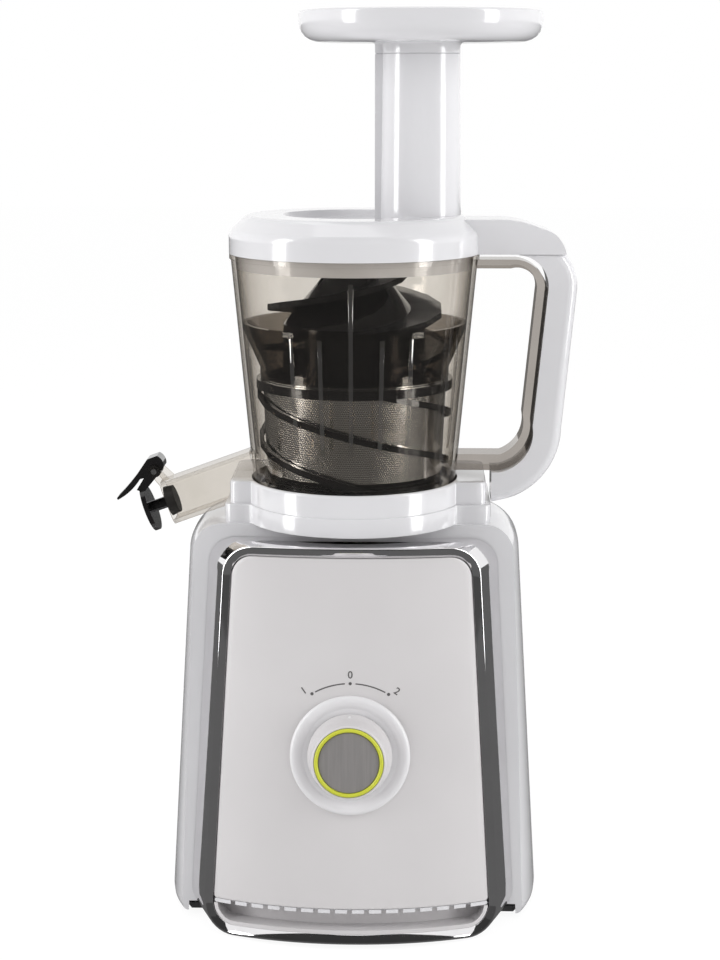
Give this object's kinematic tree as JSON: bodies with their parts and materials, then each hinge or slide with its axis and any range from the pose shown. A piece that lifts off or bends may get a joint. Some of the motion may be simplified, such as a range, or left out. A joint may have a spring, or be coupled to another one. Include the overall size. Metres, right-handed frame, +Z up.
{
  "type": "cold press juicer",
  "caption": "Upright slow juicer: motor base with front knob, clear bowl with spout and handle, auger, strainer, lid with feed tube and tray.",
  "frame": {"origin": "middle of the footprint on the surface the feet stand on, 5.6 mm from the drive axis", "axes": "+X towards the handle, -Y towards the control panel, +Z up"},
  "size_m": [0.2473, 0.1998, 0.48],
  "materials": {
    "white_plastic": "gloss",
    "chrome_trim": "polished",
    "panel_silver": "fine matte paint",
    "smoky_clear": "clear smoky plastic",
    "black_plastic": "satin",
    "grey_plastic": "matte",
    "steel": "brushed",
    "rubber": "matte",
    "motor_steel": "painted",
    "gearbox_alloy": "glass filled plastic",
    "board": "coated board",
    "lime_plastic": "gloss"
  },
  "bodies": {
    "base": {"housing": "white_plastic", "neck": "white_plastic", "chrome_frame": "chrome_trim", "front_panel": "panel_silver", "vent_comb": "white_plastic", "intake_scoop": "chrome_trim", "knob_dish": "white_plastic", "base_plate": "grey_plastic", "feet": "rubber", "motor_can": "motor_steel", "motor_cradle": "grey_plastic", "gearbox": "gearbox_alloy", "mount_pillars": "steel", "shaft_seal": "rubber", "rotary_switch": "grey_plastic", "control_board": "board", "interlock_switch": "grey_plastic", "cord_gland": "grey_plastic"},
    "knob": {"knob_grip": "white_plastic", "knob_ring": "lime_plastic", "knob_cap": "steel", "knob_spindle": "black_plastic"},
    "drive": {"drive_shaft": "steel"},
    "bowl": {"juice_bowl": "smoky_clear", "juice_spout": "smoky_clear", "pulp_chute": "smoky_clear", "handle_rib": "smoky_clear", "handle_cover": "white_plastic", "bowl_seal": "rubber", "strainer_frame": "black_plastic", "strainer_drum": "steel", "cap_pin": "steel", "pinion_pin": "steel"},
    "pinion": {"pinion_gear": "black_plastic"},
    "brush": {"brush_gear": "black_plastic", "brush_frame": "black_plastic"},
    "auger": {"auger": "black_plastic", "auger_flights": "black_plastic", "sun_gear": "black_plastic"},
    "lid": {"lid": "white_plastic"},
    "tray": {"hopper_tray": "white_plastic"},
    "cap": {"cap_lever": "black_plastic", "cap_plug": "rubber"}
  },
  "joints": [
    {"name": "knob_turn", "type": "hinge", "parent": "base", "child": "knob", "pos_m": [0.0056, -0.07921, 0.10131], "axis": [0, -0.9917, 0.1289], "range_deg": [-32, 32]},
    {"name": "bowl_lift", "type": "slide", "parent": "base", "child": "bowl", "axis": [0, 0, 1], "range_m": [0, 0.13]},
    {"name": "drive_turn", "type": "hinge", "parent": "base", "child": "drive", "pos_m": [0.0056, 0, 0.2], "axis": [0, 0, 1], "continuous": true},
    {"name": "auger_turn", "type": "hinge", "parent": "bowl", "child": "auger", "pos_m": [0.0056, 0, 0.3], "axis": [0, 0, 1], "continuous": true},
    {"name": "brush_turn", "type": "hinge", "parent": "bowl", "child": "brush", "pos_m": [0.0056, 0, 0.26], "axis": [0, 0, 1], "continuous": true},
    {"name": "pinion_turn", "type": "hinge", "parent": "bowl", "child": "pinion", "pos_m": [0.00717, 0.03296, 0.224], "axis": [0, 0, 1], "continuous": true},
    {"name": "cap_open", "type": "hinge", "parent": "bowl", "child": "cap", "pos_m": [-0.1029, 0, 0.2366], "axis": [0, 1, 0], "range_deg": [0, 60]},
    {"name": "lid_lift", "type": "slide", "parent": "bowl", "child": "lid", "axis": [0, 0, 1], "range_m": [0, 0.12]},
    {"name": "tray_lift", "type": "slide", "parent": "lid", "child": "tray", "axis": [0, 0, 1], "range_m": [0, 0.05]}
  ],
  "couplings": [
    {"joint": "drive_turn", "follows": "auger_turn", "ratio": 1},
    {"joint": "brush_turn", "follows": "auger_turn", "ratio": -0.5},
    {"joint": "pinion_turn", "follows": "auger_turn", "ratio": -2}
  ]
}
